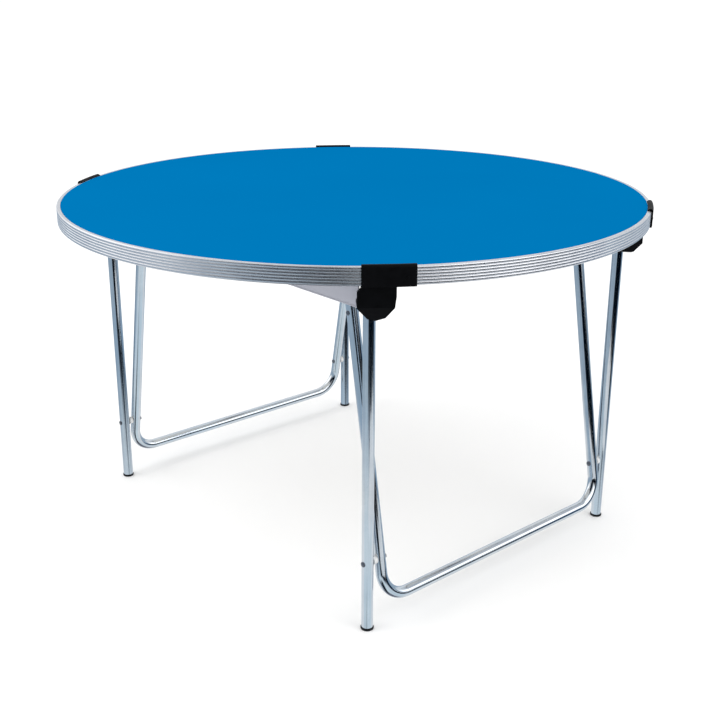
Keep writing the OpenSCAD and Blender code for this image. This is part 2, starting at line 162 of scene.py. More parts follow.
def turned(name, profile, **options):
    """A turned solid as an object of its own."""
    bm, run = fresh()
    add_turned(bm, run, profile, **options)
    bmesh.ops.remove_doubles(bm, verts=bm.verts, dist=TOUCHING)
    return new_object(name, bm)


def facing(point, direction):
    """The place of a turned solid whose axis starts at a point and runs in a direction."""
    turn = Vector(direction).to_track_quat("Z", "Y").to_matrix().to_4x4()
    return Matrix.Translation(point) @ turn


def dome(radius, height, rim=0.0004, steps=7):
    """Outline of a rounded head from its rim to its crown; its base is at height 0."""
    rise = height - rim
    side = [(radius * math.cos(t), rim + rise * math.sin(t)) for t in quarter_turn(steps)[:-1]]
    return [(radius, 0.0)] + side + [(0.0, height)]


def add_head(bm, run, place, radius, height, sunk, steps):
    """A rounded head whose base lies a little below its seat."""
    outline = [(0.0, -sunk), (radius, -sunk)] + dome(radius, height)[1:]
    add_turned(bm, run, outline, steps=steps, place=place)


def add_rivet(bm, run, start, finish, shank, head, thick, sunk=0.0004, steps=32):
    """A rivet between two points, with a rounded head beyond each end."""
    axis = (finish - start).normalized()
    for point, way in ((start, -axis), (finish, axis)):
        add_head(bm, run, facing(point, way), head, thick, sunk, steps)
    length = (finish - start).length
    outline = [(0.0, 0.0), (shank, 0.0), (shank, length), (0.0, length)]
    add_turned(bm, run, outline, steps=steps, place=facing(start, axis))


def add_screw(bm, point, outwards, steps=24):
    """A pan-head screw with a cross recess. Its seat is at a point, and its head faces outwards."""
    place = facing(point, outwards)
    # The head: the height of its rim, and the radii of its flat face and of the ring on its seat.
    rim, face, under = 0.0005, 0.62 * SCREW_R, 0.0022
    side = [(face + (SCREW_R - face) * math.cos(t), rim + (SCREW_T - rim) * math.sin(t))
            for t in quarter_turn(5)]
    rings = []
    for size, height in [(under, 0.0), (SCREW_R, 0.0)] + side:
        angles = [2 * math.pi * k / steps for k in range(steps)]
        rings.append([bm.verts.new(place @ on_circle(size, a, height)) for a in angles])
    for lower, upper in zip(rings, rings[1:]):
        for k in range(steps):
            n = (k + 1) % steps
            bm.faces.new([lower[k], lower[n], upper[n], upper[k]])
    bm.faces.new(rings[0])
    # The cross: half the width of its slots, half their length, their depth and their narrowing.
    wide, reach, deep, narrowing = 0.00055, 0.0021, 0.0013, 0.75
    arm = [(wide, wide), (wide, reach), (-wide, reach)]
    cross = []
    for quarter in range(4):
        a = math.pi / 2 * quarter
        cross += [(x * math.cos(a) - y * math.sin(a), x * math.sin(a) + y * math.cos(a)) for x, y in arm]
    mouth = [bm.verts.new(place @ Vector((x, y, SCREW_T))) for x, y in cross]
    pit = [bm.verts.new(place @ Vector((x * narrowing, y * narrowing, SCREW_T - deep))) for x, y in cross]
    corners = len(cross)
    edges = [bm.edges.new((mouth[k], mouth[(k + 1) % corners])) for k in range(corners)]
    edges += [bm.edges.get((rings[-1][k], rings[-1][(k + 1) % steps])) for k in range(steps)]
    bmesh.ops.triangle_fill(bm, use_beauty=True, edges=edges)
    for k in range(corners):
        n = (k + 1) % corners
        bm.faces.new([mouth[k], mouth[n], pit[n], pit[k]])
    bm.faces.new(pit)


def add_tube(bm, run, path, normal, radius, bore, around=48):
    """Adds a hollow tube along a path that lies in the plane of the given normal."""
    shells = {radius: [], bore: []}
    travelled = [0.0]
    for here, there in zip(path, path[1:]):
        travelled.append(travelled[-1] + (there - here).length)
    for i, point in enumerate(path):
        heading = path[min(i + 1, len(path) - 1)] - path[max(i - 1, 0)]
        side = heading.cross(normal).normalized()
        for size, rings in shells.items():
            ring = []
            for k in range(around):
                angle = 2 * math.pi * k / around
                outwards = math.cos(angle) * side + math.sin(angle) * normal
                ring.append(bm.verts.new(point + size * outwards))
            rings.append(ring)

    def quad(corners, uvs):
        face = bm.faces.new(corners)
        for loop, uv in zip(face.loops, uvs):
            loop[run].uv = uv

    for size, rings in shells.items():
        facet = 2 * math.pi * size / around
        for i in range(len(path) - 1):
            low, high = travelled[i], travelled[i + 1]
            for k in range(around):
                n = (k + 1) % around
                left, right = k * facet, (k + 1) * facet
                quad([rings[i][k], rings[i][n], rings[i + 1][n], rings[i + 1][k]],
                     [(left, low), (right, low), (right, high), (left, high)])
    # The cut ends are too thin to need a true UV map.
    speck = 0.001
    for i in (0, -1):
        outer, inner = shells[radius][i], shells[bore][i]
        for k in range(around):
            n = (k + 1) % around
            quad([outer[k], outer[n], inner[n], inner[k]],
                 [(0, 0), (speck, 0), (speck, speck), (0, speck)])


def arc(centre, start, finish, radius, steps):
    """Points from start round to finish, two unit vectors at a right angle, about a centre."""
    return [centre + radius * (math.cos(t) * start + math.sin(t) * finish) for t in quarter_turn(steps)]


def softened(node, width, segments, name):
    """A copy of a CAD node with its edges rounded, which stands for the node."""
    obj = frame["nodes"][node].copy()
    obj.data = obj.data.copy()
    obj.name = name
    obj.data.name = name
    bpy.context.scene.collection.objects.link(obj)
    bm = bmesh.new()
    bm.from_mesh(obj.data)
    bmesh.ops.remove_doubles(bm, verts=bm.verts, dist=1e-6)
    bmesh.ops.dissolve_limit(bm, angle_limit=math.radians(1), verts=bm.verts, edges=bm.edges)
    bm.to_mesh(obj.data)
    bm.free()
    obj.data.materials.clear()
    bevel = obj.modifiers.new("rounded", "BEVEL")
    bevel.width = width
    bevel.segments = segments
    bevel.limit_method = "ANGLE"
    bevel.angle_limit = math.radians(32)
    bevel.use_clamp_overlap = True
    bevel.harden_normals = True
    obj.data.shade_smooth()
    obj.data.set_sharp_from_angle(angle=math.radians(SHARP_ANGLE))
    return obj


def settle(obj, body, material, *nodes):
    """Gives a piece its material and its body, and hides the CAD nodes that it stands for."""
    obj.data.materials.clear()
    obj.data.materials.append(material)
    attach(obj, body)
    if nodes:
        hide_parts(*nodes)


# ------------------------------------------------------------------- materials


def shader(name, slot, colour, roughness, metallic=0.0, specular=0.5):
    """A material, its node tree and its Principled shader. The slot is the piece's material slot."""
    material = bpy.data.materials.new(name)
    material["slot"] = slot
    material.use_nodes = True
    tree = material.node_tree
    surface = tree.nodes["Principled BSDF"]
    surface.inputs["Base Color"].default_value = (*colour, 1)
    surface.inputs["Roughness"].default_value = roughness
    surface.inputs["Metallic"].default_value = metallic
    surface.inputs["Specular IOR Level"].default_value = specular
    return material, tree, surface


def link(tree, source, socket, target, name):
    """Joins a named output of one node to a named input of another."""
    tree.links.new(source.outputs[socket], target.inputs[name])


def noise(tree, scale, detail=4.0, roughness=0.55, stretch=(1, 1, 1), run=False):
    """Noise in object space, or along the UV map "run"."""
    if run:
        coords = tree.nodes.new("ShaderNodeUVMap")
        coords.uv_map = "run"
        output = "UV"
    else:
        coords = tree.nodes.new("ShaderNodeTexCoord")
        output = "Object"
    mapping = tree.nodes.new("ShaderNodeMapping")
    mapping.inputs["Scale"].default_value = stretch
    texture = tree.nodes.new("ShaderNodeTexNoise")
    texture.inputs["Scale"].default_value = scale
    texture.inputs["Detail"].default_value = detail
    texture.inputs["Roughness"].default_value = roughness
    link(tree, coords, output, mapping, "Vector")
    link(tree, mapping, "Vector", texture, "Vector")
    return texture


def ramp(tree, source, stops, output="Fac"):
    """A colour ramp over a node's output. Each stop is (position, colour or grey)."""
    node = tree.nodes.new("ShaderNodeValToRGB")
    elements = node.color_ramp.elements
    elements[0].position = stops[0][0]
    elements[1].position = stops[-1][0]
    for position, colour in stops[1:-1]:
        elements.new(position)
    for element, (position, colour) in zip(sorted(elements, key=lambda e: e.position), stops):
        element.color = (*colour, 1) if isinstance(colour, tuple) else (colour, colour, colour, 1)
    link(tree, source, output, node, "Fac")
    return node


def mixed(tree, factor, first, second, blend="MIX"):
    """The result of a colour mix. The factor is a number or a socket, a colour a tuple or a socket."""
    node = tree.nodes.new("ShaderNodeMix")
    node.data_type = "RGBA"
    node.blend_type = blend
    if isinstance(factor, (int, float)):
        node.inputs[0].default_value = factor
    else:
        tree.links.new(factor, node.inputs[0])
    for index, colour in ((6, first), (7, second)):
        if isinstance(colour, tuple):
            node.inputs[index].default_value = (*colour, 1)
        else:
            tree.links.new(colour, node.inputs[index])
    return node.outputs[2]


def bump(tree, surface, height, distance, strength, under=None):
    """Relief from a noise texture, over another relief if one lies under it."""
    node = tree.nodes.new("ShaderNodeBump")
    node.inputs["Strength"].default_value = strength
    node.inputs["Distance"].default_value = distance
    link(tree, height, "Fac", node, "Height")
    if under:
        link(tree, under, "Normal", node, "Normal")
    link(tree, node, "Normal", surface, "Normal")
    return node


def drawn_metal(name, slot, light, dark, rough, streak, tint=None, anisotropy=0.0):
    """Metal with fine lines along the UV map's second direction and a cloudy tint."""
    material, tree, surface = shader(name, slot, light, 0.3, metallic=1.0)
    lines = noise(tree, 1.0, 3.0, 0.6, stretch=streak, run=True)
    clouds = noise(tree, 22.0, 5.0, 0.6)
    specks = noise(tree, 420.0, 3.0, 0.7)
    colour = mixed(tree, ramp(tree, clouds, [(0.35, 0.0), (0.65, 1.0)]).outputs["Color"], dark, light)
    if tint:
        wide = noise(tree, 5.0, 2.0, 0.5)
        colour = mixed(tree, ramp(tree, wide, [(0.42, 0.0), (0.68, 0.7)]).outputs["Color"], colour, tint)
    shaded = ramp(tree, lines, [(0.3, 0.86), (0.7, 1.0)])
    colour = mixed(tree, 1.0, colour, shaded.outputs["Color"], "MULTIPLY")
    tree.links.new(colour, surface.inputs["Base Color"])
    low, high = rough
    rough_lines = ramp(tree, lines, [(0.3, low), (0.72, high)])
    rough_specks = ramp(tree, specks, [(0.35, 0.94), (0.7, 1.12)])
    total = mixed(tree, 1.0, rough_lines.outputs["Color"], rough_specks.outputs["Color"], "MULTIPLY")
    tree.links.new(total, surface.inputs["Roughness"])
    surface.inputs["Anisotropic"].default_value = anisotropy
    fine = bump(tree, surface, lines, 0.00002, 0.35)
    bump(tree, surface, clouds, 0.00005, 0.25, under=fine)
    return material


def moulded_plastic(name, slot, colour, worn, roughness, grain, depth, specular):
    """Plastic with a fine spark texture, slight mottling and a worn sheen on edges."""
    material, tree, surface = shader(name, slot, colour, roughness, specular=specular)
    texture = noise(tree, grain, 2.0, 0.5)
    mottle = noise(tree, 60.0, 4.0, 0.6)
    edges = tree.nodes.new("ShaderNodeNewGeometry")
    rubbed = ramp(tree, edges, [(0.52, 0.0), (0.64, 1.0)], output="Pointiness")
    base = mixed(tree, ramp(tree, mottle, [(0.3, 0.0), (0.75, 0.5)]).outputs["Color"], colour, worn)
    tree.links.new(mixed(tree, rubbed.outputs["Color"], base, worn), surface.inputs["Base Color"])
    shine = ramp(tree, mottle, [(0.3, roughness - 0.07), (0.7, roughness + 0.07)])
    link(tree, shine, "Color", surface, "Roughness")
    bump(tree, surface, texture, depth, 0.5)
    return material


def plated_steel(name, slot, light, dark):
    """Zinc-plated sheet with a faint crystal mottling, for pieces without a drawn direction."""
    material, tree, surface = shader(name, slot, light, 0.32, metallic=1.0)
    cloud = noise(tree, 45.0, 5.0, 0.6)
    fine = noise(tree, 900.0, 3.0, 0.6)
    shade = ramp(tree, cloud, [(0.3, dark), (0.7, light)])
    link(tree, shade, "Color", surface, "Base Color")
    shine = ramp(tree, fine, [(0.3, 0.26), (0.7, 0.4)])
    link(tree, shine, "Color", surface, "Roughness")
    bump(tree, surface, fine, 0.00002, 0.4)
    return material


def laminate_material():
    """High-pressure laminate: an even colour under a fine suede-like relief."""
    blue = (0.0, 0.150, 0.385)
    material, tree, surface = shader("blue_laminate", "laminate", blue, 0.5, specular=0.0)
    cloud = noise(tree, 2.2, 3.0, 0.5)
    fine = noise(tree, 900.0, 3.0, 0.6)
    relief = noise(tree, 2600.0, 2.0, 0.6)
    deep = (0.0, 0.146, 0.376)
    colour = mixed(tree, ramp(tree, cloud, [(0.35, 0.0), (0.65, 1.0)]).outputs["Color"], deep, blue)
    shade = ramp(tree, fine, [(0.3, 0.975), (0.7, 1.0)])
    colour = mixed(tree, 1.0, colour, shade.outputs["Color"], "MULTIPLY")
    tree.links.new(colour, surface.inputs["Base Color"])
    shine = ramp(tree, fine, [(0.3, 0.46), (0.7, 0.56)])
    link(tree, shine, "Color", surface, "Roughness")
    bump(tree, surface, relief, 0.00003, 0.35)
    return material


def painted_rail():
    """Light grey powder coat with orange peel."""
    grey = (0.40, 0.41, 0.47)
    material, tree, surface = shader("grey_powder_coat", "rail", grey, 0.42, specular=0.4)
    peel = noise(tree, 520.0, 3.0, 0.5)
    cloud = noise(tree, 9.0, 4.0, 0.6)
    shade = ramp(tree, cloud, [(0.3, (0.38, 0.39, 0.45)), (0.7, (0.43, 0.44, 0.50))])
    link(tree, shade, "Color", surface, "Base Color")
    shine = ramp(tree, peel, [(0.3, 0.36), (0.7, 0.5)])
    link(tree, shine, "Color", surface, "Roughness")
    bump(tree, surface, peel, 0.00006, 0.5)
    return material


def chipboard():
    """Pressed wood chips, pale and dark, lying flat."""
    material, tree, surface = shader("chipboard", "board", (0.5, 0.36, 0.22), 0.8, specular=0.2)
    coords = tree.nodes.new("ShaderNodeTexCoord")
    chips = tree.nodes.new("ShaderNodeTexVoronoi")
    chips.inputs["Scale"].default_value = 420.0
    stretch = tree.nodes.new("ShaderNodeMapping")
    stretch.inputs["Scale"].default_value = (1, 1, 2.6)
    link(tree, coords, "Object", stretch, "Vector")
    link(tree, stretch, "Vector", chips, "Vector")
    tones = [(0.1, (0.30, 0.19, 0.10)), (0.5, (0.52, 0.37, 0.22)), (0.9, (0.68, 0.52, 0.34))]
    tone = ramp(tree, chips, tones, output="Color")
    link(tree, tone, "Color", surface, "Base Color")
    bump(tree, surface, noise(tree, 700.0), 0.0003, 0.6)
    return material


def balancing_sheet():
    """The off-white sheet under the board, with a faint fibre pattern."""
    material, tree, surface = shader("balancing_sheet", "backing", (0.74, 0.73, 0.70), 0.6, specular=0.3)
    fibres = noise(tree, 1.0, 4.0, 0.65, stretch=(160, 900, 160))
    cloud = noise(tree, 3.5, 4.0, 0.6)
    shade = ramp(tree, cloud, [(0.3, (0.70, 0.69, 0.66)), (0.7, (0.78, 0.77, 0.74))])
    lines = ramp(tree, fibres, [(0.3, 0.94), (0.7, 1.0)])
    colour = mixed(tree, 1.0, shade.outputs["Color"], lines.outputs["Color"], "MULTIPLY")
    tree.links.new(colour, surface.inputs["Base Color"])
    bump(tree, surface, fibres, 0.00008, 0.5)
    return material


def nylon_material():
    """Natural nylon, milky and faintly cloudy."""
    material, tree, surface = shader("natural_nylon", "nylon", (0.70, 0.71, 0.71), 0.4, specular=0.4)
    cloud = noise(tree, 160.0, 3.0, 0.6)
    shade = ramp(tree, cloud, [(0.3, (0.64, 0.65, 0.66)), (0.7, (0.74, 0.75, 0.75))])
    link(tree, shade, "Color", surface, "Base Color")
    bump(tree, surface, noise(tree, 1500.0), 0.00004, 0.4)
    return material


laminate = laminate_material()
aluminium = drawn_metal("ribbed_aluminium", "edging", (0.80, 0.81, 0.84), (0.72, 0.73, 0.77),
                        rough=(0.24, 0.36), streak=(1500, 14, 1), anisotropy=0.3)
zinc_tube = drawn_metal("zinc_tube", "tube", (0.80, 0.83, 0.86), (0.70, 0.74, 0.78),
                        rough=(0.07, 0.15), streak=(900, 9, 1), tint=(0.66, 0.75, 0.84))
zinc_parts = drawn_metal("zinc_hardware", "zinc", (0.72, 0.74, 0.77), (0.60, 0.62, 0.66),
                         rough=(0.22, 0.36), streak=(700, 60, 1), tint=(0.76, 0.74, 0.66))
zinc_sheet = plated_steel("zinc_sheet", "zinc", (0.70, 0.72, 0.75), (0.56, 0.58, 0.62))
rivet_steel = plated_steel("dark_rivet_steel", "zinc", (0.20, 0.21, 0.24), (0.12, 0.13, 0.15))
black_plastic = moulded_plastic("black_moulding", "black_plastic", (0.0010, 0.0011, 0.0016),
                                (0.003, 0.0035, 0.005), 0.5, 1900.0, 0.00004, specular=0.08)
foot_plastic = moulded_plastic("black_foot_plastic", "black_plastic", (0.004, 0.0045, 0.006),
                               (0.014, 0.015, 0.018), 0.55, 1100.0, 0.00007, specular=0.25)
rail_paint = painted_rail()
board = chipboard()
backing = balancing_sheet()
nylon = nylon_material()


# ------------------------------------------------------------------- table top


def laminate_face():
    """The coloured face, with a softened edge under the edging's flange."""
    radius = box("top_laminate")[1].x
    low = TOP_Z - LAMINATE_T
    ease = 0.0003
    outline = [(0.0, low), (radius, low), (radius, TOP_Z - ease), (radius - ease, TOP_Z), (0.0, TOP_Z)]
    settle(turned("laminate_face", outline, steps=360), "top", laminate, "top_laminate")


def rib_outline(ribs=6, depth=0.0009, steps=8):
    """The ribbed outer face from top to bottom: rounded ribs with narrow grooves."""
    above, below = 0.001, 0.0005
    top = TOP_Z - above
    pitch = (top - EDGE_Z - below) / ribs
    points = []
    for i in range(ribs * steps + 1):
        swell = abs(math.sin(math.pi * i / steps)) ** 0.45
        points.append((RIM_R - depth * (1 - swell), top - pitch * i / steps))
    return points


def edging_outline():
    """The edging's section: a flange over the laminate, the ribs, a lip, and a shelf under the board."""
    wall, shelf, lip, thin = 0.0026, 0.010, 0.007, 0.0015
    ease, top_round, low_round = 0.0004, 0.0019, 0.0014
    inner = RIM_R - wall
    low = TOP_Z - LAMINATE_T
    flange = RIM_R - FLANGE_W + 0.0002
    crown = [(flange, low), (flange, TOP_Z - ease), (flange + ease, TOP_Z), (RIM_R - top_round, TOP_Z)]
    below = [
        (RIM_R - low_round, EDGE_Z), (RIM_R - lip, EDGE_Z), (RIM_R - lip, EDGE_Z + thin),
        (inner, EDGE_Z + thin), (inner, UNDER_Z - thin), (RIM_R - shelf, UNDER_Z - thin),
        (RIM_R - shelf, UNDER_Z), (inner, UNDER_Z), (inner, low),
    ]
    return crown + rib_outline() + below


def edging():
    """Two half rings that meet under opposite caps."""
    cap_low, cap_high = box("cap_a_front")
    joint_angle = math.degrees(math.atan2((cap_low.y + cap_high.y) / 2, (cap_low.x + cap_high.x) / 2))
    # Half the gap between the rings, in degrees.
    gap = 0.005
    for side, start in (("front", joint_angle + 180 + gap), ("back", joint_angle + gap)):
        node = "edging_" + side
        piece = turned(node + "_ring", edging_outline(), start=start, sweep=180 - 2 * gap, steps=360)
        settle(piece, "top", aluminium, node)


def soft_part(node, ending, material, width, segments):
    """A part of the top whose edges are rounded to a width, in a number of segments."""
    settle(softened(node, width, segments, node + ending), "top", material, node)


def table_top():
    """The top with its caps, housings, rails, clips and brackets."""
    laminate_face()
    edging()
    for end in ENDS:
        for side in SIDES:
            soft_part(f"cap_{end}_{side}", "_moulding", black_plastic, 0.0014, 4)
            soft_part(f"housing_{end}_{side}", "_moulding", black_plastic, 0.0012, 3)
    for side in SIDES:
        soft_part("rail_" + side, "_channel", rail_paint, 0.0007, 2)
    for end in ENDS:
        soft_part("clip_" + end, "_moulding", black_plastic, 0.0008, 3)
        for side in SIDES:
            soft_part(f"bracket_{end}_{side}", "_plate", zinc_sheet, 0.0005, 2)


# ------------------------------------------------------------------ leg frames


def leg(end, side, steps=12):
    """A straight tube between its foot cap and its top plug."""
    node = f"leg_{end}_{side}"
    low, high = box(node)
    axis = (low + high) / 2
    path = [Vector((axis.x, axis.y, low.z + (high.z - low.z) * i / steps)) for i in range(steps + 1)]
    bm, run = fresh()
    add_tube(bm, run, path, ALONG_Y, TUBE_R, TUBE_R - TUBE_WALL)
    settle(new_object(node + "_tube", bm), node, zinc_tube, node)


def stay_path(end, straight_steps=8, bend_steps=24):
    """The tube's middle line: down one arm, round a bend, along the bar and up again."""
    pivot = joint("fold_" + end)
    rivet = joint(f"leg_pivot_{end}_front")
    down = Vector((rivet.x - pivot.x, 0, rivet.z - pivot.z)).normalized()
    low, high = box("stay_" + end)
    half = high.y - TUBE_R
    # The lowest point of the bar is the lowest point of the node.
    reach = (pivot.z - low.z - TUBE_R) / -down.z
    arm_end = pivot + down * -STAY_STUB
    corner = pivot + down * (reach - STAY_BEND)
    start = Vector((arm_end.x, -half, arm_end.z))
    finish = Vector((corner.x, -half, corner.z))
    path = [start.lerp(finish, i / straight_steps) for i in range(straight_steps + 1)]
    centre = Vector((corner.x, STAY_BEND - half, corner.z))
    path += arc(centre, -ALONG_Y, down, STAY_BEND, bend_steps)[1:]
    mirrored = [Vector((p.x, -p.y, p.z)) for p in reversed(path)]
    bar_start, bar_end = path[-1], mirrored[0]
    path += [bar_start.lerp(bar_end, i / straight_steps) for i in range(1, straight_steps)]
    return path + mirrored, down.cross(ALONG_Y).normalized() * ENDS[end]


def stay(end):
    """A tube bent to a U."""
    path, normal = stay_path(end)
    bm, run = fresh()
    add_tube(bm, run, path, normal, TUBE_R, TUBE_R - TUBE_WALL)
    node = "stay_" + end
    settle(new_object(node + "_tube", bm), node, zinc_tube, node)


def leg_cap(node, end, side, outline, material):
    """A turned cap on the middle line of a leg. Its outline holds true heights."""
    low, high = box(node)
    axis = (low + high) / 2
    piece = turned(node + "_cap", outline, steps=48, place=Matrix.Translation((axis.x, axis.y, 0)))
    settle(piece, f"leg_{end}_{side}", material, node)


def foot(end, side):
    """A moulded cap with a rounded rim and a ribbed sole, and a stem inside the tube."""
    node = f"foot_{end}_{side}"
    low, high = box(node)
    radius = (high.x - low.x) / 2
    collar = box(f"leg_{end}_{side}")[0].z
    stem = TUBE_R - TUBE_WALL - INSERT_GAP
    groove = 0.0012
    sole = [
        (0.0, groove), (0.0035, groove), (0.0042, 0.0), (0.0062, 0.0), (0.0069, groove),
        (0.0085, groove), (0.0092, 0.0),
    ]
    rim = [(radius - 0.0018, 0.0), (radius - 0.0007, 0.0004), (radius - 0.0001, 0.0014)]
    shoulder = [(radius, collar - 0.0012), (radius - 0.0004, collar - 0.0003), (radius - 0.0012, collar)]
    outline = sole + rim + shoulder + [(stem, collar), (stem, high.z), (0.0, high.z)]
    leg_cap(node, end, side, outline, foot_plastic)


def top_plug(end, side):
    """The plug in a leg's top, with a rounded crown."""
    node = f"top_plug_{end}_{side}"
    low, high = box(node)
    collar = box(f"leg_{end}_{side}")[1].z
    stem = TUBE_R - TUBE_WALL - INSERT_GAP
    ease = 0.003
    crown = [(TUBE_R - ease * (1 - math.cos(t)), high.z - ease * (1 - math.sin(t)))
             for t in quarter_turn(6)]
    outline = [(0.0, low.z), (stem, low.z), (stem, collar), (TUBE_R, collar)] + crown + [(0.0, high.z)]
    leg_cap(node, end, side, outline, black_plastic)


def rivet_pair(node, body, material, shank, thick, spans):
    """A node's front and back rivet. The spans say where each starts and ends along Y."""
    low, high = box(node)
    x, z = (low.x + high.x) / 2, (low.z + high.z) / 2
    head = (high.x - low.x) / 2
    bm, run = fresh()
    for start, finish in spans:
        add_rivet(bm, run, Vector((x, start, z)), Vector((x, finish, z)), shank, head, thick)
    settle(new_object(node + "_turned", bm), body, material, node)


def leg_rivets(end):
    """The rivets on which the legs swing, from inside the stay's arm to outside the leg."""
    node = "leg_rivets_" + end
    shank, thick, stand = 0.004, 0.002, 0.0005
    inner = box("stay_" + end)[1].y - 2 * TUBE_R - stand
    outer = box(node)[1].y - thick
    spans = [(sign * inner, sign * outer) for sign in SIDES.values()]
    rivet_pair(node, "stay_" + end, rivet_steel, shank, thick, spans)


def arm_rivets(node, end, body, material, shank, thick):
    """Rivets or pins that pass through the two arms of a stay."""
    middle = box("stay_" + end)[1].y - TUBE_R
    half = box(node)[1].y - thick - middle
    spans = [(sign * middle - half, sign * middle + half) for sign in SIDES.values()]
    rivet_pair(node, body, material, shank, thick, spans)


def screws(node, places):
    """Screws driven up into the board. Each place is the middle of a screw's seat."""
    bm = fresh()[0]
    for place in places:
        add_screw(bm, Vector(place), -UP)
    settle(new_object(node + "_heads", bm), "top", zinc_parts, node)


def screw_grid(node, insets):
    """Four groups of screws, mirrored across X and Y. Insets lead from a group's outermost screw."""
    low, high = box(node)
    outer, middle, seat = high.x - SCREW_R, high.y - SCREW_R, low.z + SCREW_T
    screws(node, [(a * (outer - inset), b * middle, seat)
                  for a in (1, -1) for b in (1, -1) for inset in insets])


def all_screws():
    """The screws of rails, housings, brackets and clips."""
    screw_grid("rail_screws", [0.33, 0.22, 0.11, 0.0])
    screw_grid("housing_screws", [0.0, 0.014])
    screw_grid("bracket_screws", [0.0, 0.050])
    tube_gap, clip_seat = 0.0004, 0.0026
    places = []
    for end in ENDS:
        clip_low, clip_high = box("clip_" + end)
        seat = joint("fold_" + end).z + TUBE_R + tube_gap + clip_seat
        places.append(((clip_low.x + clip_high.x) / 2, 0, seat))
    screws("clip_screws", places)


def cap_rivets():
    """A push rivet near the outer end of each corner cap."""
    high = box("cap_rivets")[1]
    head, thick, sunk = 0.0024, 0.0007, 0.0006
    # The direction of the heads' middle, found in a few steps from the corner of the node's box.
    angle = 0.0
    for _ in range(4):
        angle = math.atan2(high.y - head * math.cos(angle), high.x - head * math.sin(angle))
    skin = RIM_R + CAP_WALL
    bm, run = fresh()
    for a in (1, -1):
        for b in (1, -1):
            outwards = Vector((a * math.cos(angle), b * math.sin(angle), 0))
            place = facing(outwards * skin + UP * (high.z - head), outwards)
            add_head(bm, run, place, head, thick, sunk, steps=24)
    settle(new_object("cap_rivet_heads", bm), "top", black_plastic, "cap_rivets")


def leg_frame(end):
    """A stay with its rivets and pins, and its two legs."""
    stay(end)
    leg_rivets(end)
    arm_rivets(f"stay_{end}_sleeve_rivets", end, "stay_" + end, rivet_steel, 0.0025, 0.0012)
    arm_rivets("pivot_pins_" + end, end, "top", zinc_parts, 0.005, 0.0016)
    for side in SIDES:
        leg(end, side)
        foot(end, side)
        top_plug(end, side)


def dress_nodes():
    """Gives the CAD nodes their materials. Those that no piece replaces stay in sight."""
    finishes = {"core_board": board, "backing_laminate": backing, "edging_splices": aluminium}
    for node, obj in frame["nodes"].items():
        plain = nylon if "washers" in node or "spacers" in node else zinc_sheet
        obj.data.materials.clear()
        obj.data.materials.append(finishes.get(node, plain))


for end_name in ENDS:
    leg_frame(end_name)
table_top()
all_screws()
cap_rivets()
dress_nodes()


# ------------------------------------------------------- camera, floor, lights


def camera():
    """The viewpoint: where it is, seen from the centre of the work surface, and where it looks."""
    azimuth, elevation, distance = 48.911, 11.2, 2.3714
    heading, pitch, roll = 48.6925, 19.7002, 0.1942
    focal = 55.853

    def backwards(turn, lift):
        a, e = math.radians(turn), math.radians(lift)
        return Vector((math.sin(a) * math.cos(e), -math.cos(a) * math.cos(e), math.sin(e)))

    place = Vector((0, 0, TOP_Z)) + distance * backwards(azimuth, elevation)
    back = backwards(heading, pitch)
    right = Vector((math.cos(math.radians(heading)), math.sin(math.radians(heading)), 0))
    up = back.cross(right)
    turn = math.radians(roll)
    across = math.cos(turn) * right + math.sin(turn) * up
    above = math.cos(turn) * up - math.sin(turn) * right
    data = bpy.data.cameras.new("camera")
    data.lens = focal
    data.sensor_width = 36
    data.clip_end = 200
    obj = bpy.data.objects.new("camera", data)
    obj.matrix_world = Matrix.Translation(place) @ Matrix((across, above, back)).transposed().to_4x4()
    bpy.context.scene.collection.objects.link(obj)
    bpy.context.scene.camera = obj


def floor():
    """A wide pale floor, which glossy surfaces don't see."""
    bm = bmesh.new()
    size = 60
    corners = [(-size, -size), (size, -size), (size, size), (-size, size)]
    bm.faces.new([bm.verts.new((x, y, 0)) for x, y in corners])
    obj = new_object("floor", bm)
    material, tree, surface = shader("floor_paint", "", (0.9, 0.9, 0.9), 0.9, specular=0.0)
    shade = ramp(tree, noise(tree, 0.6), [(0.3, 0.935), (0.7, 0.955)])
    link(tree, shade, "Color", surface, "Base Color")
    obj.data.materials.append(material)
    obj.visible_glossy = False


def soft_light(name, place, target, size, power):
    """A round area light that shines from a place towards a target and leaves no highlight."""
    data = bpy.data.lights.new(name, "AREA")
    data.shape = "DISK"
    data.size = size
    data.energy = power
    obj = bpy.data.objects.new(name, data)
    obj.location = place
    obj.rotation_mode = "QUATERNION"
    obj.rotation_quaternion = (Vector(place) - Vector(target)).to_track_quat("Z", "Y")
    obj.visible_glossy = False
    bpy.context.scene.collection.objects.link(obj)


def surroundings():
    """An even white studio light."""
    world = bpy.data.worlds.new("studio")
    bpy.context.scene.world = world
    world.use_nodes = True
    background = world.node_tree.nodes["Background"]
    background.inputs["Color"].default_value = (1, 1, 1, 1)
    background.inputs["Strength"].default_value = 1.12


